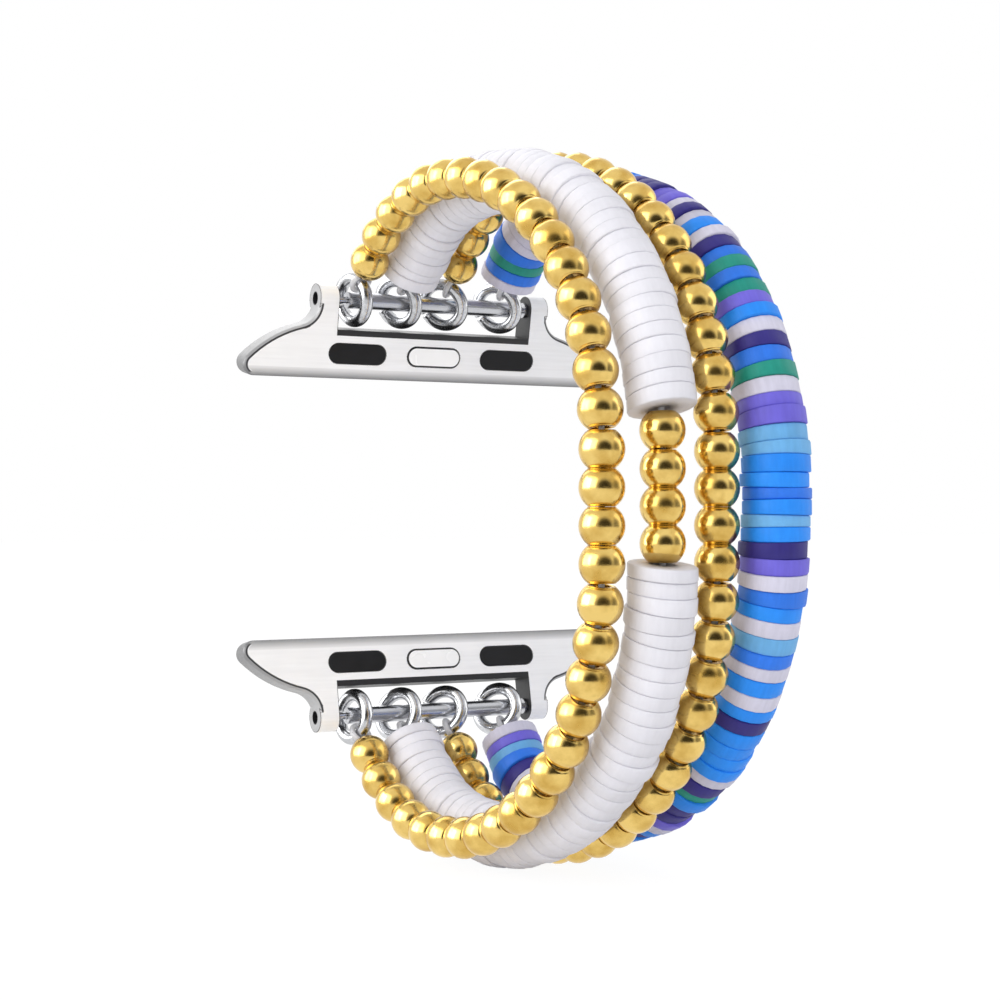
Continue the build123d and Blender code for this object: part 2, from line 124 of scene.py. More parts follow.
class NodeBench:
    """Small helper that adds and links the nodes of one material or world."""

    def __init__(self, owner: ID) -> None:
        """Start the owner's nodes.

        Args:
            owner: a new material or world.
        """
        owner.use_nodes = True
        self.tree = owner.node_tree
        self.shader = self.tree.nodes.get("Principled BSDF") or self.tree.nodes["Background"]

    def add(self, kind: str, **settings: object) -> Node:
        """Add a node and set its properties.

        Args:
            kind: the node's type name.
            settings: attributes of the node to set.

        Returns:
            The new node.
        """
        node = self.tree.nodes.new(kind)
        for key, value in settings.items():
            setattr(node, key, value)
        return node

    def plug(self, target: NodeSocket, value: object) -> None:
        """Link a socket to an input, or set the input to a plain value.

        Args:
            target: the input.
            value: an output socket, a number, a vector or a colour.
        """
        if isinstance(value, NodeSocket):
            self.tree.links.new(value, target)
        else:
            target.default_value = value

    def feed(self, **values: object) -> None:
        """Plug values into the shader's own inputs, named with underscores for spaces."""
        for key, value in values.items():
            self.plug(self.shader.inputs[key.replace("_", " ")], value)

    def coordinates(self, kind: str = "Object") -> NodeSocket:
        """Object coordinates in metres, the piece's own UV map, or its Normal."""
        return self.add("ShaderNodeTexCoord").outputs[kind]

    def noise(
        self, scale: float, detail: float = 3.0, stretch: Triple = (1.0, 1.0, 1.0), kind: str = "Object"
    ) -> NodeSocket:
        """Noise from 0 to 1 on stretched coordinates.

        Args:
            scale: how fine the noise is.
            detail: how many finer layers it has.
            stretch: multipliers of the three directions.
            kind: the coordinates that it reads.

        Returns:
            The noise value's socket.
        """
        mapping = self.add("ShaderNodeMapping")
        self.plug(mapping.inputs["Scale"], stretch)
        self.plug(mapping.inputs["Vector"], self.coordinates(kind))
        noise = self.add("ShaderNodeTexNoise")
        for key, value in (("Scale", scale), ("Detail", detail), ("Vector", mapping.outputs["Vector"])):
            self.plug(noise.inputs[key], value)
        return noise.outputs["Fac"]

    def spread(
        self, value: NodeSocket, low: float, high: float, bottom: float = 0.0, top: float = 1.0
    ) -> NodeSocket:
        """Remap a value from low..high to bottom..top, clamped.

        Args:
            value: the socket to remap.
            low, high: the values that become bottom and top.
            bottom, top: the ends of the result.

        Returns:
            The remapped socket.
        """
        remap = self.add("ShaderNodeMapRange", clamp=True)
        names = ("Value", "From Min", "From Max", "To Min", "To Max")
        for name, number in zip(names, (value, low, high, bottom, top)):
            self.plug(remap.inputs[name], number)
        return remap.outputs["Result"]

    def maths(self, operation: str, first: object, second: object = 0.0) -> NodeSocket:
        """One step of arithmetic on sockets or numbers.

        Args:
            operation: the node's operation name.
            first, second: sockets or plain numbers.

        Returns:
            The result's socket.
        """
        node = self.add("ShaderNodeMath", operation=operation)
        for target, term in zip(node.inputs, (first, second)):
            self.plug(target, term)
        return node.outputs[0]

    def blend(self, share: object, first: object, second: object) -> NodeSocket:
        """Mix two colours by a share.

        Args:
            share: a socket or a number, 0 for the first colour.
            first, second: sockets or colours.

        Returns:
            The mixed colour's socket.
        """
        node = self.add("ShaderNodeMix", data_type="RGBA")
        share_input, first_input, second_input = 0, 6, 7
        for index, term in ((share_input, share), (first_input, first), (second_input, second)):
            self.plug(node.inputs[index], term)
        return next(output for output in node.outputs if output.type == "RGBA")

    def vector(self, operation: str, first: object, second: object = (0.0, 0.0, 0.0)) -> Node:
        """A vector arithmetic node on sockets or plain vectors.

        Args:
            operation: the node's operation name.
            first, second: sockets or plain vectors.

        Returns:
            The node, whose output is Vector or Value.
        """
        node = self.add("ShaderNodeVectorMath", operation=operation)
        self.plug(node.inputs[0], first)
        self.plug(node.inputs[1], second)
        return node

    def dot(self, first: object, second: object) -> NodeSocket:
        """Dot product of two vectors, as sockets or plain vectors."""
        return self.vector("DOT_PRODUCT", first, second).outputs["Value"]

    def parts(self, vector: NodeSocket) -> bpy.types.bpy_prop_collection:
        """The X, Y and Z sockets of a vector."""
        node = self.add("ShaderNodeSeparateXYZ")
        self.plug(node.inputs[0], vector)
        return node.outputs

    def plate_facing(self, side: int) -> NodeSocket:
        """Size of the dot product of the surface's normal and a connector plate's normal.

        Args:
            side: 1 above, -1 below.

        Returns:
            The number's socket.
        """
        tilt = math.radians(CONNECTOR_TILT)
        plate = (0.0, math.cos(tilt), side * math.sin(tilt))
        return self.maths("ABSOLUTE", self.dot(self.coordinates("Normal"), plate))

    def edge_share(self, width: float) -> NodeSocket:
        """Share that is 1 in a thin line along every sharp edge, and 0 elsewhere.

        The line is where the normal of an edge rounded by the line's width leaves the surface's own normal.

        Args:
            width: the line's width, in millimetres.

        Returns:
            The share's socket.
        """
        rounded = self.add("ShaderNodeBevel", samples=8)
        self.plug(rounded.inputs["Radius"], width * MM)
        own = self.add("ShaderNodeNewGeometry").outputs["Normal"]
        line_start, line_full = 0.98, 0.92
        return self.spread(self.dot(rounded.outputs["Normal"], own), line_start, line_full)

    def seen(self) -> NodeSocket:
        """Share that is 1 for what the camera, mirrors and glass see, and 0 for what lights the band."""
        rays = self.add("ShaderNodeLightPath").outputs
        mirrored = self.maths("MAXIMUM", rays["Is Glossy Ray"], rays["Is Transmission Ray"])
        return self.maths("MAXIMUM", rays["Is Camera Ray"], mirrored)

    def mix_surface(self, share: NodeSocket, other: Node) -> None:
        """Mix the shader with another one, as the material's surface.

        Args:
            share: 0 for the material's own shader.
            other: the other shader's node.
        """
        mix = self.add("ShaderNodeMixShader")
        for target, value in zip(mix.inputs, (share, self.shader.outputs[0], other.outputs[0])):
            self.plug(target, value)
        self.plug(self.tree.nodes["Material Output"].inputs["Surface"], mix.outputs[0])

    def relief(self, height: NodeSocket, strength: float, depth: float) -> None:
        """Bump the shader's normal by a height.

        Args:
            height: the height's socket.
            strength: share of the full effect.
            depth: height of a full step, in millimetres.
        """
        bump = self.add("ShaderNodeBump")
        for key, value in (("Strength", strength), ("Distance", depth * MM), ("Height", height)):
            self.plug(bump.inputs[key], value)
        self.feed(Normal=bump.outputs["Normal"])


@dataclass(frozen=True)
class Finish:
    """What a surface is made of. Its fields are display colours, shares, noise scales and ranges."""

    name: str

    def build(self) -> Material:
        """Make the material.

        Returns:
            The finished material.
        """
        material = bpy.data.materials.new(self.name)
        bench = NodeBench(material)
        bench.feed(Base_Color=self.paint(bench))
        return material

    def paint(self, bench: NodeBench) -> NodeSocket:
        """Fill the bench with roughness and relief, and give the colour's socket."""
        raise NotImplementedError


@dataclass(frozen=True)
class ClayFinish(Finish):
    """Baked polymer clay: one colour with soft mottling, cut streaks across the rim and a dull surface."""

    colour: Display
    mottle: float = 0.10
    streak: float = 0.10
    rough: Pair = (0.48, 0.64)
    cloud_scale: float = 700.0
    rim_scale: float = 9.0
    rim_stretch: Triple = (5.0, 0.35, 1.0)
    rim_range: Pair = (0.35, 0.65)
    rim_height: float = 0.8
    grain_scale: float = 5200.0
    tone_range: Pair = (-0.5, 0.5)
    shadow: float = 0.78
    light: Pair = (1.22, 0.012)
    gloss: float = 0.42
    depth: Pair = (0.35, 0.03)

    def paint(self, bench: NodeBench) -> NodeSocket:
        """Mix the clay's shade from its clouds, the rim's streaks and the disc's own tone."""
        cloud = bench.spread(bench.noise(self.cloud_scale), *SOFT, -self.mottle, self.mottle)
        rim = bench.noise(self.rim_scale, detail=4.0, stretch=self.rim_stretch, kind="UV")
        streaks = bench.spread(rim, *self.rim_range, -self.streak, self.streak)
        own = bench.add("ShaderNodeAttribute", attribute_name="tone").outputs["Fac"]
        total = bench.maths("ADD", bench.maths("ADD", cloud, streaks), own)
        bench.feed(
            Roughness=bench.spread(cloud, -self.mottle, self.mottle, *self.rough),
            Specular_IOR_Level=self.gloss,
        )
        fine = bench.noise(self.grain_scale, detail=4.0)
        bench.relief(bench.maths("ADD", fine, bench.maths("MULTIPLY", rim, self.rim_height)), *self.depth)
        base = linear(*self.colour)
        return bench.blend(
            bench.spread(total, *self.tone_range), shaded(base, self.shadow), shaded(base, *self.light)
        )


@dataclass(frozen=True)
class SteelFinish(Finish):
    """Bare steel, brushed along one direction or polished."""

    tint: Display = (232, 232, 235)
    roughness: float = 0.3
    grain: float = 0.08
    streak: float = 0.86
    stretch: Triple = (0.05, 1.0, 1.0)
    metal: float = 1.0
    line_scale: float = 4200.0
    cloud_scale: float = 260.0
    shade_range: Pair = (0.75, 1.25)
    depth: Pair = (0.25, 0.006)

    def paint(self, bench: NodeBench) -> NodeSocket:
        """Shade the steel by its brushed lines and by soft clouds."""
        lines = bench.noise(self.line_scale, stretch=self.stretch)
        cloud = bench.noise(self.cloud_scale, detail=2.0)
        rough = bench.spread(lines, *SOFT, self.roughness - self.grain / 2, self.roughness + self.grain)
        bench.feed(Roughness=rough, Metallic=self.metal)
        bench.relief(lines, *self.depth)
        base = linear(*self.tint)
        share = bench.spread(bench.maths("ADD", lines, cloud), *self.shade_range)
        return bench.blend(share, base, shaded(base, self.streak))


@dataclass(frozen=True)
class ConnectorFinish(SteelFinish):
    """Satin steel of a connector: pale faces, with painted shade as a dark outline, on the greyer sides, in the
    notch and in the holes.

    Reach is the distance from the spring bar towards the slide edge. A turn is a range of the dot product of
    the surface's normal and the plate's normal, from where a shade starts to where it is full.
    """

    tint: Display = (253, 253, 254)
    roughness: float = 0.38
    grain: float = 0.05
    streak: float = 0.93
    metal: float = 0.08
    side: int = 1
    # the notch's floor and walls, a lip beyond the floor, the holes and the edges all get painted shade
    notch_floor: float = 2.25
    notch_half: float = 8.5
    slide_edge: float = 5.3
    ear_back: float = 1.3
    hole_radius: float = 0.53
    skin: float = 0.04
    lip: float = 0.46
    # painted shade: dark for the notch, the holes and the edge lines, and a grey for the sides that turn away
    dark: Display = PAINTED_SHADE_GREY
    side_shade_grey: Display = (52, 52, 55)
    line: float = 0.13
    rim_start: float = 0.1
    rim_width: float = 0.75
    rim_shade: float = 0.8
    rim_turn: Pair = (0.99, 0.5)
    lean: Pair = (0.3, 0.6)
    side_turn: Pair = (0.99, 0.9)
    side_reach: Pair = (2.0, 5.8)
    side_shades: Pair = (0.6, 0.86)
    line_turn: Pair = (0.995, 0.98)
    line_end: Pair = (0.72, 0.86)

    def paint(self, bench: NodeBench) -> NodeSocket:
        """Lay painted grey shade on the sides that turn away, and the painted dark shade of the notch, the holes
        and the edges over both.
        """
        tilt = math.radians(CONNECTOR_TILT)
        pin = (0.0, PIN_Y * MM, self.side * PIN_HEIGHT * MM)
        place = bench.vector("SUBTRACT", bench.coordinates(), pin).outputs["Vector"]
        reach = bench.dot(place, (0.0, math.sin(tilt), -self.side * math.cos(tilt)))
        parts = bench.parts(place)
        # painted shade on the sides that turn away from the plate and along the slide edge
        sides = bench.blend(self.side_shade(bench, reach), super().paint(bench), linear(*self.side_shade_grey))
        # painted shade in the notch, in the spring bar's holes and as a dark line along every sharp edge
        cut = self.notch_shade_share(bench, reach, bench.maths("ABSOLUTE", parts["X"]))
        for share in (self.hole_shade_share(bench, parts), bench.edge_share(self.line)):
            cut = bench.maths("MAXIMUM", cut, share)
        return bench.blend(cut, sides, linear(*self.dark))

    def side_shade(self, bench: NodeBench, reach: NodeSocket) -> NodeSocket:
        """How much painted shade the surface gets where it turns away from the plate's two faces.

        Along the slide edge the painted shade grows slowly with the turn and over the last of the reach. Round
        the ends and in the pockets a thin full painted dark line marks where the turn begins, and the side
        beyond it is a painted grey shade that deepens towards the slide edge. The ears' round backs, which don't
        turn sideways, have no painted shade.

        Args:
            bench: the material being built.
            reach: distance from the spring bar towards the slide edge.

        Returns:
            The shade's socket.
        """
        facing = bench.plate_facing(self.side)
        sideways = bench.maths("ABSOLUTE", bench.dot(bench.coordinates("Normal"), (1.0, 0.0, 0.0)))
        edge = self.slide_edge
        rim = bench.maths("GREATER_THAN", reach, edge * MM)
        middle = bench.maths("SUBTRACT", bench.maths("GREATER_THAN", reach, self.ear_back * MM), rim)
        # painted shade that darkens the face towards the slide edge, as if the edge were rounded
        near = bench.spread(
            reach, (edge - self.rim_start) * MM, (edge + self.rim_width) * MM, 0.0, self.rim_shade
        )
        slow = bench.maths("MULTIPLY", bench.spread(facing, *self.rim_turn), rim)
        turn = bench.maths("SQRT", bench.maths("SUBTRACT", ABOVE_ONE, bench.maths("MULTIPLY", facing, facing)))
        leaning = bench.spread(bench.maths("DIVIDE", sideways, turn), *self.lean)
        start, end = self.side_reach
        grey = bench.spread(reach, start * MM, end * MM, *self.side_shades)
        side = bench.maths("MULTIPLY", bench.spread(facing, *self.side_turn), grey)
        line = [bench.spread(facing, *turn_range) for turn_range in (self.line_turn, self.line_end)]
        return bench.blend(
            bench.maths("MAXIMUM", leaning, middle),
            bench.maths("MAXIMUM", slow, near),
            bench.maths("MAXIMUM", side, bench.maths("MULTIPLY", *line)),
        )

    def notch_shade_share(self, bench: NodeBench, reach: NodeSocket, width: NodeSocket) -> NodeSocket:
        """Share of painted shade: 1 on the notch's floor, its side walls and its lip, and 0 elsewhere.

        The floor is painted dark with shade, with a narrow lip beyond it, and so are the walls at the half
        width.

        Args:
            bench: the material being built.
            reach: distance from the spring bar towards the slide edge.
            width: distance from the band's middle plane.

        Returns:
            The share's socket.
        """
        under = bench.maths("LESS_THAN", reach, (self.notch_floor + self.lip) * MM)
        beyond = bench.maths("GREATER_THAN", reach, (self.notch_floor - self.skin) * MM)
        inside = bench.maths("LESS_THAN", width, (self.notch_half + self.skin) * MM)
        strip = bench.maths("MULTIPLY", bench.maths("MULTIPLY", under, beyond), inside)
        away = bench.maths("ABSOLUTE", bench.maths("SUBTRACT", width, self.notch_half * MM))
        wall = bench.maths("MULTIPLY", bench.maths("LESS_THAN", away, self.skin * MM), under)
        return bench.maths("MAXIMUM", strip, wall)

    def hole_shade_share(self, bench: NodeBench, parts: bpy.types.bpy_prop_collection) -> NodeSocket:
        """Share of painted shade: 1 in the spring bar's holes and round their mouths, and 0 elsewhere.

        Args:
            bench: the material being built.
            parts: the three coordinates' sockets, measured from the spring bar's middle.

        Returns:
            The share's socket.
        """
        squares = [bench.maths("POWER", parts[axis], 2.0) for axis in ("Y", "Z")]
        away = bench.maths("SQRT", bench.maths("ADD", *squares))
        return bench.maths("LESS_THAN", away, self.hole_radius * MM)


@dataclass(frozen=True)
class TipFinish(SteelFinish):
    """Drawn steel of a spring bar's tip, in shadow where it ends inside the ear's hole."""

    shadow_start: float = 9.0
    shadow_fade: float = 0.1
    dark: Display = (26, 26, 28)

    def paint(self, bench: NodeBench) -> NodeSocket:
        """Darken the steel beyond the shadow's start."""
        width = bench.maths("ABSOLUTE", bench.parts(bench.coordinates())["X"])
        start = self.shadow_start
        deep = bench.spread(width, start * MM, (start + self.shadow_fade) * MM)
        return bench.blend(deep, super().paint(bench), linear(*self.dark))


@dataclass(frozen=True)
class CloudFinish(Finish):
    """One colour with soft clouds of a second one or of another shade, duller there, and a fine grain."""

    colour: Display
    rough: Pair
    cloud_scale: float
    grain_scale: float
    depth: Pair
    shade: float = 1.0
    second: Display | None = None
    cloud_detail: float = 3.0
    cloud_range: Pair = SOFT
    rough_range: Pair = SOFT
    extras: tuple[tuple[str, float], ...] = ()

    def paint(self, bench: NodeBench) -> NodeSocket:
        """Mix the two colours by the clouds."""
        cloud = bench.noise(self.cloud_scale, self.cloud_detail)
        bench.feed(Roughness=bench.spread(cloud, *self.rough_range, *self.rough), **dict(self.extras))
        bench.relief(bench.noise(self.grain_scale, detail=2.0), *self.depth)
        first, second = linear(*self.colour), linear(*(self.second or self.colour))
        return bench.blend(bench.spread(cloud, *self.cloud_range), first, shaded(second, self.shade))


@dataclass(frozen=True)
class ButtonFinish(CloudFinish):
    """Bright plated button, almost white, with faint wear and painted shade on its rounded rim."""

    colour: Display = (255, 255, 255)
    rough: Pair = (0.2, 0.3)
    cloud_scale: float = 420.0
    grain_scale: float = 2600.0
    depth: Pair = (0.02, 0.002)
    shade: float = 0.96
    cloud_detail: float = 2.0
    cloud_range: Pair = (0.35, 0.75)
    extras: tuple[tuple[str, float], ...] = (("Metallic", 0.05),)
    side: int = 1
    rim_turn: Pair = (0.975, 0.9)

    def paint(self, bench: NodeBench) -> NodeSocket:
        """Paint shade on the plate where its rim turns away."""
        # painted shade on the button's rounded rim
        rim = bench.spread(bench.plate_facing(self.side), *self.rim_turn)
        return bench.blend(rim, super().paint(bench), linear(*PAINTED_SHADE_GREY))


GOLD = CloudFinish(  # polished brass with faint handling smudges and fine dents
    "gold_polish",
    colour=(236, 203, 121),
    second=(206, 167, 83),
    rough=(0.16, 0.28),
    cloud_scale=620.0,
    grain_scale=1500.0,
    depth=(0.12, 0.06),
    cloud_detail=4.0,
    cloud_range=(0.36, 0.66),
    rough_range=(0.35, 0.68),
    extras=(("Metallic", 1.0),),
)
RUBBER = CloudFinish(
    "pad_rubber",
    colour=(17, 17, 19),
    shade=1.9,
    rough=(0.48, 0.62),
    cloud_scale=500.0,
    grain_scale=7000.0,
    depth=(0.3, 0.02),
    extras=(("Specular_IOR_Level", 0.3),),
)
ELASTIC = CloudFinish(
    "elastic",
    colour=(236, 236, 240),
    shade=0.8,
    rough=(0.25, 0.4),
    cloud_scale=1400.0,
    grain_scale=6000.0,
    depth=(0.2, 0.01),
    extras=(("Transmission_Weight", 0.35), ("IOR", 1.45)),
)
RING_STEEL = SteelFinish(
    "ring_chrome", (214, 215, 218), roughness=0.2, grain=0.1, streak=0.7, stretch=(1.0, 1.0, 1.0)
)
COVER_STEEL = SteelFinish("cover_satin", roughness=0.34)
SPRING_STEEL = SteelFinish("drawn_steel", (205, 206, 210), roughness=0.24)
TIP_STEEL = TipFinish("tip_steel", (205, 206, 210), roughness=0.24)
WHITE_CLAY = ClayFinish("white_clay", (220, 219, 226), mottle=0.05, streak=0.04)


# ---------------------------------------------------------------- surfaces


def add_object(name: str, data: ID) -> Object:
    """Put a mesh, lamp or camera into the scene.

    Args:
        name: the object's name.
        data: what the object shows.

    Returns:
        The new object.
    """
    thing = bpy.data.objects.new(name, data)
    bpy.context.scene.collection.objects.link(thing)
    return thing


def spokes(first: Array, second: Array, segments: int) -> Array:
    """Unit directions round circles.

    A spoke is the cosine of its angle times the first direction plus its sine times the second.

    Args:
        first, second: square unit directions of the circles' planes, as (..., 3).
        segments: how many spokes a circle has.

    Returns:
        Directions as (..., segments, 3).
    """
    turn = np.arange(segments) * (2 * np.pi / segments)
    return np.cos(turn)[:, None] * first[..., None, :] + np.sin(turn)[:, None] * second[..., None, :]


def tube(
    line: Array, girth: Array | float, first: Array, second: Array, segments: int
) -> Array:
    """Skin of a tube whose ends are drawn to a point.

    Args:
        line: points of its centre line in metres, as (points, 3).
        girth: its radius in millimetres, one or one for each point.
        first, second: square unit directions across it, one or one for each point.
        segments: how many steps it has round.

    Returns:
        Points as (1, points, segments, 3).
    """
    radii = np.broadcast_to(girth, len(line)).astype(float)
    radii[[0, -1]] = 0.0
    return (line[:, None] + MM * radii[:, None, None] * spokes(first, second, segments))[None]


class Surface:
    """A mesh gathered from grids of points, then dressed and handed to the frame."""

    def __init__(self, name: str) -> None:
        """Start an empty surface.

        Args:
            name: the piece's name.
        """
        self.name = name
        self.points: list[Array] = []
        self.faces: list[Array] = []
        self.corners: list[Array] = []
        self.tones: list[Array] = []
        self.count = 0

    def add(
        self,
        grid: Array,
        wrap_rows: bool = False,
        tone: Array | None = None,
        shift: Array | None = None,
    ) -> None:
        """Add one grid, or a stack of equal grids, of quads.

        A face joins the points (row, column), (row, column + 1), (row + 1, column + 1) and (row + 1, column).
        The last column joins the first one, and so do the last and first rows where they wrap.

        Args:
            grid: points as (items, rows, columns, 3) in metres.
            wrap_rows: whether the last row joins the first.
            tone: one lightness shift for each item.
            shift: one shift of the pattern along the rows for each item.
        """
        items, rows, columns, _ = grid.shape
        steps = (np.arange(items), np.arange(rows if wrap_rows else rows - 1), np.arange(columns))
        item, row, column = (axis.ravel() for axis in np.meshgrid(*steps, indexing="ij"))
        ahead = np.stack([row, row, row + 1, row + 1], 1)
        around = np.stack([column, column + 1, column + 1, column], 1)
        index = item[:, None] * rows * columns + (ahead % rows) * columns + around % columns
        places = np.stack([around / columns, ahead / rows], 2)
        if shift is not None:
            places = places + shift[item][:, None, None]
        self.points.append(grid.reshape(-1, 3))
        self.faces.append(index + self.count)
        self.corners.append(places.reshape(-1, 2))
        self.tones.append(np.repeat(np.zeros(items) if tone is None else tone, rows * columns))
        self.count += items * rows * columns

    def finish(self, material: Material, body: str, slot: str, *nodes: str) -> None:
        """Make the object, close its poles, turn its faces outwards and tie it to the frame.

        Args:
            material: its finish.
            body: the body it rides on.
            slot: not used.
            nodes: the CAD nodes it stands for.
        """
        mesh = bpy.data.meshes.new(self.name)
        mesh.from_pydata(np.concatenate(self.points).tolist(), [], np.concatenate(self.faces).tolist())
        layer = mesh.uv_layers.new(name="UVMap")
        layer.data.foreach_set("uv", np.concatenate(self.corners).astype(np.float32).ravel())
        tone = mesh.attributes.new("tone", "FLOAT", "POINT")
        tone.data.foreach_set("value", np.concatenate(self.tones).astype(np.float32))
        welded = bmesh.new()
        welded.from_mesh(mesh)
        bmesh.ops.remove_doubles(welded, verts=welded.verts, dist=WELD)
        bmesh.ops.recalc_face_normals(welded, faces=welded.faces)
        welded.to_mesh(mesh)
        welded.free()
        mesh.shade_smooth()
        mesh.materials.append(material)
        piece = add_object(self.name, mesh)
        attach(piece, body)
        if nodes:
            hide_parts(*nodes)
        LOG.info("%s: %d faces on %s", self.name, len(mesh.polygons), body)


@dataclass
class Places:
    """Where items sit: centres and three unit directions, each an array of (items, 3), in metres."""

    centre: Array
    along: Array
    outward: Array
    across: Array

    def revolve(self, profile: Array, segments: int) -> Array:
        """Turn a profile about each item's own length.

        A point is the centre plus the profile's first value along the item, plus its second value times the
        cosine of the angle outwards and its sine across.

        Args:
            profile: (points, 2) distances along and away from the axis, in millimetres.
            segments: how many steps the turn has.

        Returns:
            Points as (items, profile points, segments, 3).
        """
        ahead, away = profile.T[:, None, :, None, None]
        spoke = spokes(self.outward, self.across, segments)[:, None]
        return self.centre[:, None, None] + MM * (ahead * self.along[:, None, None] + away * spoke)


def running(steps: Array) -> Array:
    """Running total of some steps, from 0."""
    return np.concatenate([[0], steps.cumsum()])


def bend(length: Array, radius: Array) -> tuple[Array, Array]:
    """Turn and chord of arcs.

    The turn is the length over the radius and the chord is 2 r sin(turn / 2). Where the radius is 0 the run is
    straight: its turn is 0 and its chord is its length.

    Args:
        length: the arcs' lengths.
        radius: the arcs' radii.

    Returns:
        The turns in radians and the chords.
    """
    turn = np.where(radius > 0, length / np.maximum(radius, TINY), 0.0)
    return turn, np.where(radius > 0, 2 * radius * np.sin(turn / 2), length)


@dataclass(frozen=True)
class StrandRoute:
    """Centre line of a strand: a straight run from each ring, a bend level, and a wide bend over the back."""

    pin_x: float
    back_x: float
    depth: float
    top_height: float
    start_angle: float
    start_run: float
    wide_radius: float
    ring_twist: float

    def runs(self) -> Array:
        """Lengths and bend radii of its nine runs, in millimetres, with a radius of 0 where it is straight.

        Returns:
            A row of lengths and a row of radii, from the upper spring bar to the lower one.
        """
        angle = math.radians(self.start_angle)
        reach = math.hypot(self.depth, self.back_x - self.pin_x)
        rise = self.top_height - PIN_HEIGHT - self.start_run * math.sin(angle)
        radius = rise / (1 - math.cos(angle))
        level = reach - self.start_run * math.cos(angle) - radius * math.sin(angle) - self.wide_radius
        half = [
            (self.start_run, 0.0),
            (radius * angle, radius),
            (level, 0.0),
            (self.wide_radius * math.pi / 2, self.wide_radius),
        ]
        return np.array(half + [(2 * (self.top_height - self.wide_radius), 0.0)] + half[::-1]).T

    def length(self) -> float:
        """Whole length in millimetres."""
        return float(self.runs()[0].sum())

    def both_sides(self, inset: float) -> tuple[Array, Array]:
        """Running lengths of the centre line and of its inner side at the ends of the runs.

        The inner side's length is the centre line's length times (radius - inset) / radius on each bend.

        Args:
            inset: how far the inner side is from the centre line.

        Returns:
            The two running lengths.
        """
        lengths, radii = self.runs()
        shares = np.where(radii > 0, (radii - inset) / np.maximum(radii, TINY), 1.0)
        return running(lengths), running(lengths * shares)

    def stations(
        self, start: float, end: float, item: float, inset: float
    ) -> tuple[Array, Array]:
        """Middles and bounds of as many items as fit between two distances, even on the bends' inner side.

        Args:
            start, end: distances along the centre line.
            item: an item's length.
            inset: how far the inner side is from the centre line.

        Returns:
            Distances of the middles, and of the bounds between items, along the centre line.
        """
        outer, inner = self.both_sides(inset)
        first, last = np.interp([start, end], outer, inner)
        count = math.floor((last - first) / (item + STRAND_GAP))
        bounds = first + np.arange(count + 1) * (last - first) / count
        return np.interp((bounds[1:] + bounds[:-1]) / 2, inner, outer), np.interp(bounds, inner, outer)

    def places(self, distances: Array) -> Places:
        """Centres and directions at distances along the centre line.

        A chord is laid half its arc's turn below the heading at the arc's start.

        Args:
            distances: distances from the upper spring bar's axis, in millimetres.

        Returns:
            The places in metres.
        """
        lengths, radii = self.runs()
        starts = running(lengths)
        turns, chords = bend(lengths, radii)
        headings = math.radians(self.start_angle) - running(turns)
        middles = headings[:-1] - turns / 2
        x = running(chords * np.cos(middles))
        z = PIN_HEIGHT + running(chords * np.sin(middles))
        run = np.clip(np.searchsorted(starts, distances, side="right") - 1, 0, len(lengths) - 1)
        turn, chord = bend(distances - starts[run], radii[run])
        away = (x[run] + chord * np.cos(headings[run] - turn / 2))[:, None]
        height = (z[run] + chord * np.sin(headings[run] - turn / 2))[:, None]
        heading = (headings[run] - turn)[:, None]
        drift = self.back_x - self.pin_x
        span = math.hypot(drift, self.depth)
        back = np.array([drift, -self.depth, 0.0]) / span
        side = np.array([-self.depth, -drift, 0.0]) / span
        up = np.array([0.0, 0.0, 1.0])
        centre = np.array([self.pin_x, PIN_Y, 0.0]) + away * back + height * up
        along = np.cos(heading) * back + np.sin(heading) * up
        outward = np.cos(heading) * up - np.sin(heading) * back
        return Places(centre * MM, along, outward, np.broadcast_to(side, centre.shape))


class Route(Enum):
    """The four strands, from the left in the photograph."""

    LEFT_GOLD = StrandRoute(-6.9, -4.5, 33.4, 23.7, 45.0, 4.9, 20.2, 11.0)
    WHITE = StrandRoute(-3.0, -0.1, 33.7, 23.8, 47.0, 4.4, 19.9, 28.0)
    INNER_GOLD = StrandRoute(0.95, 3.85, 34.1, 24.7, 50.0, 4.9, 20.4, 38.0)
    COLOURED = StrandRoute(5.9, 8.3, 34.4, 22.9, 52.0, 4.4, 21.4, 36.0)

    @property
    def node_name(self) -> str:
        """The strand's name in the frame."""
        return self.name.lower()


class Clay(Enum):
    """Clay colours of the coloured strand, as display values."""

    BLUE = (30, 112, 222)
    BRIGHT = (16, 134, 246)
    GREEN = (2, 138, 122)
    GREY = (202, 200, 218)
    NAVY = (36, 26, 118)
    SKY = (98, 164, 216)
    VIOLET = (104, 94, 206)


DISC_COLOURS = (
    # from the upper ring over the crown to the shoulder
    "grey blue green blue grey grey blue green blue "
    "navy grey bright violet blue grey green navy bright blue navy navy navy violet violet grey "
    "navy grey bright grey navy blue green blue green violet bright grey navy blue green grey "
    # down the back and the heel
    "violet violet sky sky bright bright blue bright sky bright navy violet grey blue bright grey "
    "sky blue grey bright grey bright navy bright bright bright bright grey navy green bright "
    # under the keel to the lower ring
    "navy navy violet grey bright navy bright blue green grey blue sky bright navy grey violet "
    "bright bright bright grey navy blue sky violet grey"
).split()


# ---------------------------------------------------------------- pieces of the strands


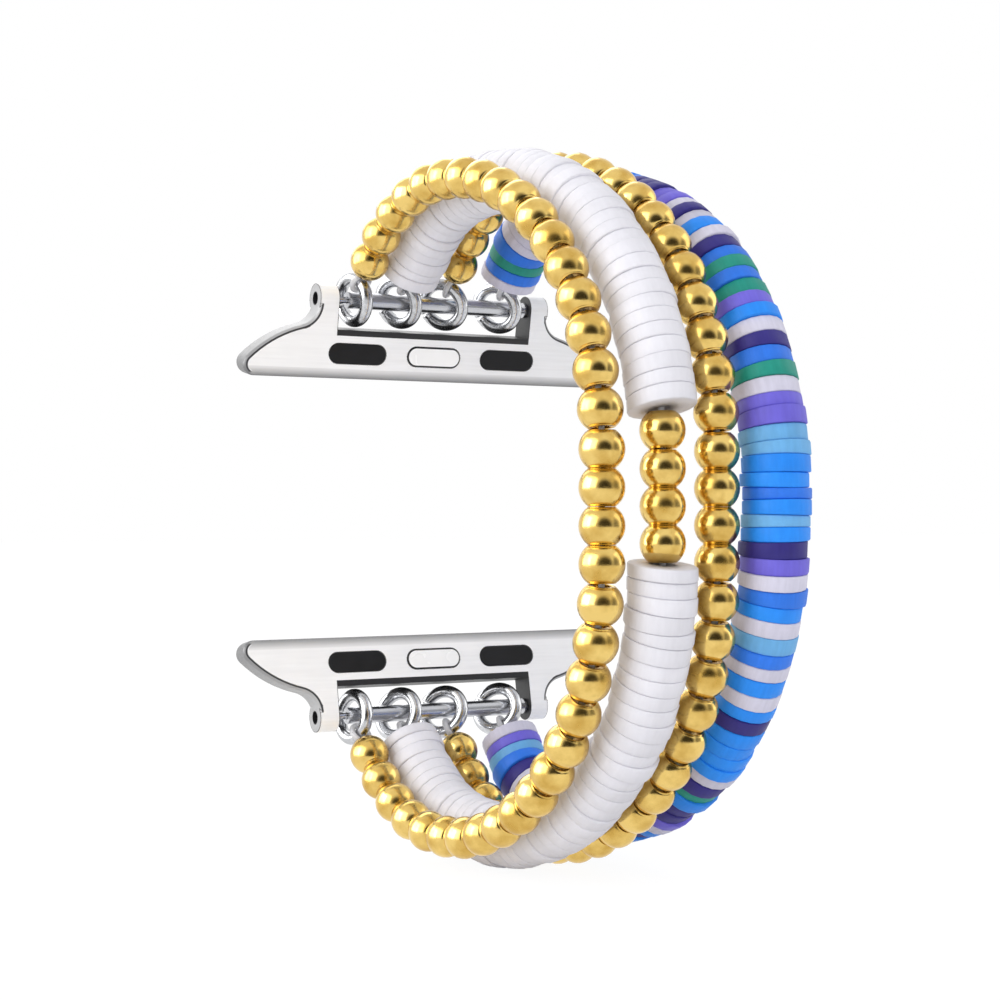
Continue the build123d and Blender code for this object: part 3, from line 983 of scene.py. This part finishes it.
@dataclass(frozen=True)
class ClayDisc:
    """Soft clay discs pressed together: crisp rims, uneven thickness, small tilts and sideways steps."""

    radius: float = 2.3
    hole_radius: float = 0.55
    thickness: float = 0.85
    rim: float = 0.09
    rim_softness: float = 0.3
    hair: float = 0.006
    uneven: float = 0.045
    tilt: float = 0.016
    sway: float = 0.07
    squeezed_discs: int = 9
    bead_reach: float = 0.75
    segments: int = 20

    def face_profile(self) -> Array:
        """Half of a disc's section, from its hole over one face to its rim, measured from that face's plane.

        Returns:
            Four points as distances from the plane into the disc and away from the axis.
        """
        soft = self.rim_softness * self.rim
        return np.array(
            [
                (self.hair, self.hole_radius),
                (self.hair, self.radius - self.rim),
                (self.hair + soft, self.radius - soft),
                (self.hair + self.rim, self.radius),
            ]
        )

    def stack(
        self, route: StrandRoute, bounds: Array, seed: int, squeeze: Pair = (0.0, 0.0)
    ) -> Array:
        """Discs that fill a strand between its bounds, each face lying in a shared, slightly tilted plane.

        A bound between two discs moves by a normal draw times the unevenness, and its plane leans by a normal
        draw times the tilt, so one disc's thick side meets the next one's thin side. A disc as a whole steps
        sideways by a normal draw times the sway. Every draw is held within twice its size. Where the loop's
        inner side squeezes the stack against a bead, its end planes lean as well, less with each disc, and the
        end draws back by the lean times the bead's reach.

        Args:
            route: the strand.
            bounds: distances of the planes between discs, in millimetres.
            seed: start of the random draws.
            squeeze: outward lean of the first and the last plane.

        Returns:
            Points as (discs, rows, segments, 3) in metres.
        """
        dice = np.random.default_rng(seed)
        count = len(bounds) - 1
        shift, lean_out, lean_side = dice.normal(size=(3, count + 1)).clip(-2, 2)
        inside = np.ones(count + 1)
        inside[[0, -1]] = 0.0
        fade = np.clip(1 - np.arange(count + 1) / self.squeezed_discs, 0, 1)
        first, last = squeeze
        lean = first * fade + last * fade[::-1]
        back = self.bead_reach * (abs(first) * fade - abs(last) * fade[::-1])
        places = route.places(bounds + self.uneven * shift * inside + back)
        leans = self.tilt * inside
        along = places.along + (leans * lean_out + lean)[:, None] * places.outward
        along = along + (leans * lean_side)[:, None] * places.across
        along /= np.linalg.norm(along, axis=1)[:, None]
        across = np.cross(along, places.outward)
        across /= np.linalg.norm(across, axis=1)[:, None]
        planes = Places(places.centre, along, np.cross(across, along), across)
        ahead = planes.revolve(self.face_profile(), self.segments)[:-1]
        behind = planes.revolve(self.face_profile()[::-1] * [-1, 1], self.segments)[1:]
        step = self.sway * MM * dice.normal(size=(2, count)).clip(-2, 2)
        move = step[0][:, None] * places.outward[:-1] + step[1][:, None] * places.across[:-1]
        return np.concatenate([ahead, behind], axis=1) + move[:, None, None, :]


@dataclass(frozen=True)
class GoldBead:
    """Hollow gold bead: a ball with a rolled lip round each mouth of its hole."""

    radius: float = 1.5
    shoulder: float = 1.09
    length: float = 2.4
    face_radius: float = 0.9
    segments: int = 28
    arc_steps: int = 13
    mouth: tuple[Pair, ...] = (
        (-1.13, 0.50), (-1.165, 0.54), (-1.17, 0.78), (-1.20, 0.83), (-1.207, 0.88), (-1.185, 0.935)
    )
    groove: tuple[Pair, ...] = ((-1.14, 0.955), (-1.118, 0.985))

    def profile(self) -> Array:
        """Closed outline of its section: hole, flat, rolled lip, fine groove, ball, and the same mirrored.

        Returns:
            Points as distances along and away from the axis.
        """
        ball = self.shoulder * np.cos(np.linspace(math.pi, 0, self.arc_steps))
        arc = np.stack([ball, np.sqrt(self.radius**2 - ball**2)], 1)
        side = np.array(self.mouth + self.groove)
        return np.concatenate([side, arc, side[::-1] * [-1, 1]])

    def build(
        self, name: str, body: str, node: str, line: StrandRoute, stations: Array, gold: Material
    ) -> None:
        """Make a row of beads as one piece.

        Args:
            name: the piece's name.
            body: the body it rides on.
            node: the CAD node it stands for.
            line: the strand.
            stations: distances of the beads' middles, in millimetres.
            gold: the beads' finish.
        """
        surface = Surface(name)
        surface.add(line.places(stations).revolve(self.profile(), self.segments), wrap_rows=True)
        surface.finish(gold, body, "gold", node)


@dataclass(frozen=True)
class BeadStrand:
    """A strand of gold beads."""

    route: Route
    bead: GoldBead = GoldBead()

    def build(self, gold: Material) -> None:
        """Make every bead of the strand as one piece.

        Args:
            gold: the beads' finish.
        """
        line = self.route.value
        end = line.length() - FIRST_SEAT
        stations, _ = line.stations(FIRST_SEAT, end, self.bead.length, self.bead.face_radius)
        name = f"{self.route.node_name}_beads"
        self.bead.build(f"{name}_visual", "strands", name, line, stations, gold)


@dataclass(frozen=True)
class WhiteStrand:
    """White clay discs with four gold beads in the middle of the back."""

    bead: GoldBead = GoldBead()
    disc: ClayDisc = ClayDisc()
    bead_count: int = 4
    lift: float = 1.25
    squeeze: float = 0.15
    seeds: tuple[int, int] = (21, 22)
    tone_seed: int = 50
    tone_size: float = 0.05

    def build(self, gold: Material, clay: Material) -> None:
        """Make the two stacks of discs and the four beads.

        Args:
            gold: the beads' finish.
            clay: the discs' finish.
        """
        line = Route.WHITE.value
        pitch = self.bead.length + STRAND_GAP
        outer, inner = line.both_sides(self.bead.face_radius)
        first = np.interp(line.length() / 2 - self.lift, outer, inner) - self.bead_count * pitch / 2
        group_start, group_end = np.interp([first, first + self.bead_count * pitch], inner, outer)
        stacks = (
            ("upper", FIRST_SEAT, group_start, (0.0, self.squeeze)),
            ("lower", group_end, line.length() - FIRST_SEAT, (-self.squeeze, 0.0)),
        )
        for seed, (side, start, end, squeeze) in zip(self.seeds, stacks):
            _, bounds = line.stations(start, end, self.disc.thickness, self.disc.radius)
            grid = self.disc.stack(line, bounds, seed, squeeze)
            tone = np.random.default_rng(seed + self.tone_seed).normal(0, self.tone_size, len(grid))
            surface = Surface(f"white_{side}_stack")
            surface.add(grid, wrap_rows=True, tone=tone, shift=np.arange(len(grid)) * PATTERN_STEP)
            surface.finish(clay, "strands", "white_clay", f"white_{side}_discs")
        for index in range(self.bead_count):
            station = np.interp([first + (index + 0.5) * pitch], inner, outer)
            name = f"middle_bead_{index + 1}"
            self.bead.build(f"{name}_visual", name, name, line, station, gold)


@dataclass(frozen=True)
class ColouredStrand:
    """Clay discs in seven colours, one piece for each colour."""

    disc: ClayDisc = ClayDisc(sway=0.09, tilt=0.02)
    seed: int = 7
    tone_size: float = 0.08

    def build(self, clays: dict[Clay, Material]) -> None:
        """Make the discs, colour by colour.

        Args:
            clays: the finish of each colour.
        """
        line = Route.COLOURED.value
        end = line.length() - FIRST_SEAT
        _, bounds = line.stations(FIRST_SEAT, end, self.disc.thickness, self.disc.radius)
        grid = self.disc.stack(line, bounds, self.seed)
        tone = np.random.default_rng(self.seed).normal(0, self.tone_size, len(grid))
        shift = np.arange(len(grid)) * PATTERN_STEP
        words = np.array(DISC_COLOURS)
        for clay, material in clays.items():
            colour = clay.name.lower()
            chosen = words == colour
            surface = Surface(f"{colour}_discs")
            surface.add(grid[chosen], wrap_rows=True, tone=tone[chosen], shift=shift[chosen])
            surface.finish(material, "strands", f"{colour}_clay", f"coloured_{colour}_discs")


@dataclass(frozen=True)
class SplitRing:
    """Chunky round wire ring with a butted seam and a fine scored line beside it."""

    centre_radius: float = 1.7
    wire_radius: float = 0.5
    offset: float = 0.12
    seam: float = 0.12
    seam_angle: float = 215.0
    round_over: float = 0.10
    score_depth: float = 0.045
    score_place: float = 0.34
    score_width: float = 0.035
    end_steps: int = 6
    steps: int = 96
    segments: int = 20

    def placing(self, route: Route, side: int) -> tuple[Array, Array, Array]:
        """Centre, pull direction and normal of a ring.

        The normal is the strand's own, turned about the pull by the ring's twist.

        Args:
            route: its strand.
            side: 1 above, -1 below.

        Returns:
            The centre in metres and two unit directions.
        """
        line = route.value
        distance = self.offset if side > 0 else line.length() - self.offset
        here = line.places(np.array([distance]))
        pull = here.along[0] * side
        twist = math.radians(line.ring_twist) * side
        normal = here.across[0] * math.cos(twist) + np.cross(pull, here.across[0]) * math.sin(twist)
        return here.centre[0], pull, normal

    def build(self, route: Route, side: int, chrome: Material) -> None:
        """Make one ring.

        The wire's centre runs round a circle. Its radius falls as a quarter circle over the last tenth of a
        millimetre at the seam, and dips in a narrow bell at the scored line.

        Args:
            route: its strand.
            side: 1 above, -1 below.
            chrome: its finish.
        """
        centre, pull, normal = self.placing(route, side)
        around = 2 * math.pi * self.centre_radius - self.seam
        ends = self.round_over * (1 - np.cos(np.linspace(0, math.pi / 2, self.end_steps)))
        middle = np.linspace(self.round_over, around - self.round_over, self.steps)
        travel = np.concatenate([ends, middle[1:-1], around - ends[::-1]])
        inward = np.clip(1 - np.minimum(travel, around - travel) / self.round_over, 0, 1)
        fall = self.round_over * (1 - np.sqrt(1 - inward**2))
        score = self.score_depth * np.exp(-(((travel - self.score_place) / self.score_width) ** 2))
        angle = (travel + self.seam / 2) / self.centre_radius - side * math.radians(self.seam_angle)
        spoke = np.cos(angle)[:, None] * pull + np.sin(angle)[:, None] * np.cross(normal, pull)
        line = centre + MM * self.centre_radius * spoke
        name = f"{'upper' if side > 0 else 'lower'}_{route.node_name}_ring"
        surface = Surface(f"{name}_visual")
        surface.add(tube(line, self.wire_radius - fall - score, spoke, normal, self.segments))
        surface.finish(chrome, "strands", "polished_steel", name)


@dataclass(frozen=True)
class ElasticCord:
    """Elastic cord through a strand, with a pear-shaped eye round each ring and a knot in each end item."""

    radius: float = 0.22
    inset: float = 0.1
    run_steps: int = 220
    eye_radius: float = 0.76
    eye_steps: int = 30
    leg_steps: int = 6
    tip: float = 1.0
    knot_radius: float = 0.4
    knot_place: float = 3.12
    knot_dip: float = 0.06
    knot_steps: int = 9
    knot_segments: int = 12
    segments: int = 10
    ring: SplitRing = SplitRing()

    def build(self, route: Route, elastic: Material) -> None:
        """Make one cord.

        Args:
            route: its strand.
            elastic: its finish.
        """
        line = route.value
        name = f"{route.node_name}_cord"
        surface = Surface(f"{name}_visual")
        start = FIRST_SEAT + self.inset
        places = line.places(np.linspace(start, line.length() - start, self.run_steps))
        surface.add(tube(places.centre, self.radius, places.outward, places.across, self.segments))
        for side in SIDES:
            surface.add(self.eye(route, side))
            surface.add(self.knot(line, side))
        surface.finish(elastic, "strands", "clear_cord", name)

    def eye(self, route: Route, side: int) -> Array:
        """The eye: an arc round the ring's wire whose two ends run straight together inside the bead.

        The arc leaves the circle where a straight line from the tip touches it, at the angle whose cosine is
        the circle's radius over the tip's distance.

        Args:
            route: its strand.
            side: 1 above, -1 below.

        Returns:
            Points as (1, steps, segments, 3).
        """
        centre, pull, normal = self.ring.placing(route, side)
        touch = math.acos(self.eye_radius / self.tip)
        angle = np.linspace(touch, 2 * math.pi - touch, self.eye_steps)
        arc = self.eye_radius * np.stack([np.cos(angle), np.sin(angle)], 1)
        point = np.array([self.tip, 0.0])
        leg = point + np.linspace(0, 1, self.leg_steps)[:-1, None] * (arc[0] - point)
        path = np.concatenate([leg, arc, leg[::-1] * [1, -1]])
        ahead = np.gradient(path, axis=0)
        ahead /= np.linalg.norm(ahead, axis=1)[:, None]
        plane = np.stack([pull, normal])
        out = np.stack([ahead[:, 1], -ahead[:, 0]], 1) @ plane
        line = centre + MM * (self.ring.centre_radius * pull + path @ plane)
        return tube(line, self.radius, out, np.cross(normal, pull), self.segments)

    def knot(self, line: StrandRoute, side: int) -> Array:
        """The knot: a small ball whose radius swells and dips three times round, inside the end item.

        Args:
            line: its strand.
            side: 1 above, -1 below.

        Returns:
            Points as (1, steps, segments, 3).
        """
        distance = self.knot_place if side > 0 else line.length() - self.knot_place
        angle = np.linspace(0, math.pi, self.knot_steps)
        swell = 1 - self.knot_dip + self.knot_dip * np.cos(6 * angle)
        profile = self.knot_radius * np.stack([-np.cos(angle), np.sin(angle) * swell], 1)
        profile[[0, -1], 1] = 0.0
        return line.places(np.array([distance])).revolve(profile, self.knot_segments)


# ---------------------------------------------------------------- connectors


@dataclass(frozen=True)
class Connector:
    """One slide connector with its pads, lock button, cover and spring bar."""

    side: int

    @property
    def name(self) -> str:
        """The connector's name in the frame."""
        return "upper" if self.side > 0 else "lower"

    def build(self, shared: dict[str, Material]) -> None:
        """Dress every piece of the connector.

        Args:
            shared: materials that both connectors use, by the pieces' names.
        """
        steel = ConnectorFinish(f"{self.name}_satin_steel", side=self.side)
        button = ButtonFinish(f"{self.name}_bright_plate", side=self.side)
        own = {"connector_frame": steel.build(), "lock_button": button.build()}
        for part, material in (own | shared).items():
            self.dress(f"{self.name}_{part}", material)

    def dress(self, node: str, material: Material) -> None:
        """Give a CAD node its finish and leave its shape.

        Args:
            node: the CAD node.
            material: its finish.
        """
        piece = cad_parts[node]
        for slot in piece.material_slots:
            slot.material = material
        if not piece.material_slots:
            piece.data.materials.append(material)
        LOG.info("%s: dressed", node)


# ---------------------------------------------------------------- studio


def add_sheet(name: str, corners: list[Triple], material: Material) -> Object:
    """Make a flat four-cornered sheet.

    Args:
        name: the sheet's name.
        corners: its corners in turn, in metres.
        material: its finish.

    Returns:
        The sheet's object.
    """
    mesh = bpy.data.meshes.new(name)
    mesh.from_pydata(corners, [], [(0, 1, 2, 3)])
    mesh.materials.append(material)
    return add_object(name, mesh)


@dataclass(frozen=True)
class SoftBox:
    """A square area lamp that points at the band's middle. Its place and size are in metres."""

    name: str
    place: Triple
    size: float
    power: float
    in_mirrors: bool = True
    on_matt: bool = True

    def build(self) -> None:
        """Make the lamp."""
        lamp = bpy.data.lights.new(self.name, "AREA")
        lamp.shape = "SQUARE"
        lamp.size = self.size
        lamp.energy = self.power
        stand = add_object(self.name, lamp)
        stand.location = self.place
        stand.rotation_euler = Vector(self.place).to_track_quat("Z", "Y").to_euler()
        stand.visible_glossy = self.in_mirrors
        stand.visible_diffuse = self.on_matt


@dataclass(frozen=True)
class DarkCard:
    """A dark card with a soft edge that only mirrors see, for the dark heart of the beads' reflections.

    Its cover, the share of what lies behind it that it hides, is full in its inner part and fades out, as an
    ellipse, at its edge. Its place and size are in metres.
    """

    name: str
    place: Triple
    size: Pair
    cover: float
    fade_start: float = 0.55
    paint: tuple[float, float, float, float] = (0.02, 0.017, 0.014, 1.0)

    def build(self) -> None:
        """Make the card, square to the line from its middle to the band's middle."""
        middle = Vector(self.place)
        aim = middle.normalized()
        side = Vector((0, 0, 1)).cross(aim).normalized() * self.size[0] / 2
        up = aim.cross(side).normalized() * self.size[1] / 2
        turns = ((-1.0, -1.0), (1.0, -1.0), (1.0, 1.0), (-1.0, 1.0))
        corners = [tuple(middle + across * side + rise * up) for across, rise in turns]
        card = add_sheet(self.name, corners, self.material())
        layer = card.data.uv_layers.new(name="UVMap")
        layer.data.foreach_set("uv", [share for turn in turns for share in turn])
        card.visible_camera = False
        card.visible_diffuse = False
        card.visible_shadow = False
        card.visible_transmission = False
        card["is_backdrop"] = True

    def material(self) -> Material:
        """The card's finish, which fades out with the distance from its middle.

        Returns:
            The finished material.
        """
        material = bpy.data.materials.new(self.name)
        bench = NodeBench(material)
        bench.feed(Base_Color=self.paint, Roughness=1.0)
        away = bench.vector("LENGTH", bench.coordinates("UV")).outputs["Value"]
        clear = bench.add("ShaderNodeBsdfTransparent")
        bench.mix_surface(bench.spread(away, self.fade_start, 1.0, 1.0 - self.cover, 1.0), clear)
        return material


@dataclass(frozen=True)
class Studio:
    """White table and surround, soft lamps, and the camera at the photograph's place."""

    floor_size: float = 3.0
    paint: tuple[float, float, float, float] = (0.9, 0.9, 0.9, 1.0)
    paint_roughness: float = 0.9
    glow: float = 1.06
    glow_share: float = 0.88
    surround_light: float = 0.62
    lens: float = 66.65
    sensor: float = 36.0
    clip_start: float = 0.001
    camera_place: Triple = (-65.9, -133.4, -0.4)
    camera_look: Triple = (0.4756, 0.8796, 0.007)
    lamps: tuple[SoftBox, ...] = (
        SoftBox("key", (-0.47, -0.06, 0.20), 0.42, 1.35),
        SoftBox("side", (0.42, -0.16, 0.14), 0.40, 0.45),
        SoftBox("back", (0.05, 0.42, 0.34), 0.40, 0.8),
        SoftBox("fill", (-0.20, -0.42, 0.20), 0.40, 0.62, in_mirrors=False),
        SoftBox("sparkle", (-0.45, 0.20, 0.12), 0.44, 2.6, on_matt=False),
    )
    cards: tuple[DarkCard, ...] = (
        DarkCard("front_card", (-0.09, -0.30, 0.0), (0.60, 0.64), 1.0),
        DarkCard("right_card", (0.24, -0.25, 0.0), (0.30, 0.50), 0.8),
    )

    def build(self) -> None:
        """Make the floor, the world, the lamps, the cards and the camera."""
        self.floor()
        self.world()
        for thing in self.lamps + self.cards:
            thing.build()
        self.camera()

    def floor(self) -> None:
        """A wide white sheet just under the band."""
        low = min(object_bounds()[0][2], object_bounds()[1][2])
        half = self.floor_size / 2
        corners = [(-half, -half, low), (half, -half, low), (half, half, low), (-half, half, low)]
        table = add_sheet("table", corners, self.table_paint())
        table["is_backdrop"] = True

    def table_paint(self) -> Material:
        """White paint that the camera, mirrors and glass see as plain white with a light shadow.

        Returns:
            The finished material.
        """
        material = bpy.data.materials.new("table_paint")
        bench = NodeBench(material)
        bench.feed(Base_Color=self.paint, Roughness=self.paint_roughness)
        glow = bench.add("ShaderNodeEmission")
        bench.plug(glow.inputs["Strength"], self.glow)
        bench.mix_surface(bench.maths("MULTIPLY", bench.seen(), self.glow_share), glow)
        return material

    def world(self) -> None:
        """Plain white to the camera, mirrors and glass, and a dimmer white as light."""
        world = bpy.data.worlds.new("studio")
        bpy.context.scene.world = world
        bench = NodeBench(world)
        strength = bench.spread(bench.seen(), 0.0, 1.0, self.surround_light, 1.0)
        bench.feed(Color=(1.0, 1.0, 1.0, 1.0), Strength=strength)

    def camera(self) -> None:
        """The photograph's camera: level with the band's middle, towards the connectors' inner faces."""
        lens = bpy.data.cameras.new("camera")
        lens.lens = self.lens
        lens.sensor_width = self.sensor
        lens.clip_start = self.clip_start
        camera = add_object("camera", lens)
        across, back, height = self.camera_place
        camera.location = (across * MM, (PIN_Y + back) * MM, height * MM)
        camera.rotation_euler = Vector(self.camera_look).to_track_quat("-Z", "Y").to_euler()
        bpy.context.scene.camera = camera


def build_band() -> None:
    """Build every piece of the band: the connectors, the four strands, the cords and the rings."""
    gold = GOLD.build()
    chrome = RING_STEEL.build()
    cover, spring, rubber, tip = (
        finish.build() for finish in (COVER_STEEL, SPRING_STEEL, RUBBER, TIP_STEEL)
    )
    shared = {"left_pad": rubber, "right_pad": rubber, "button_cover": cover}
    shared |= {part: spring for part in ("button_spring", "spring_bar_tube", "spring_bar_spring")}
    shared |= {f"spring_bar_{end}_tip": tip for end in ("left", "right")}
    elastic = ELASTIC.build()
    white = WHITE_CLAY.build()
    clays = {clay: ClayFinish(f"{clay.name.lower()}_clay", clay.value).build() for clay in Clay}
    for side in SIDES:
        Connector(side).build(shared)
    BeadStrand(Route.LEFT_GOLD).build(gold)
    WhiteStrand().build(gold, white)
    BeadStrand(Route.INNER_GOLD).build(gold)
    ColouredStrand().build(clays)
    ring = SplitRing()
    cord = ElasticCord()
    for route in Route:
        cord.build(route, elastic)
        for side in SIDES:
            ring.build(route, side, chrome)


def main() -> None:
    logging.basicConfig(level=logging.INFO, format="%(name)s %(message)s")
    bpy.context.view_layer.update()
    bpy.context.scene.view_settings.view_transform = "Standard"
    build_band()
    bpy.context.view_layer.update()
    Studio().build()


if __name__ == "__main__":
    main()
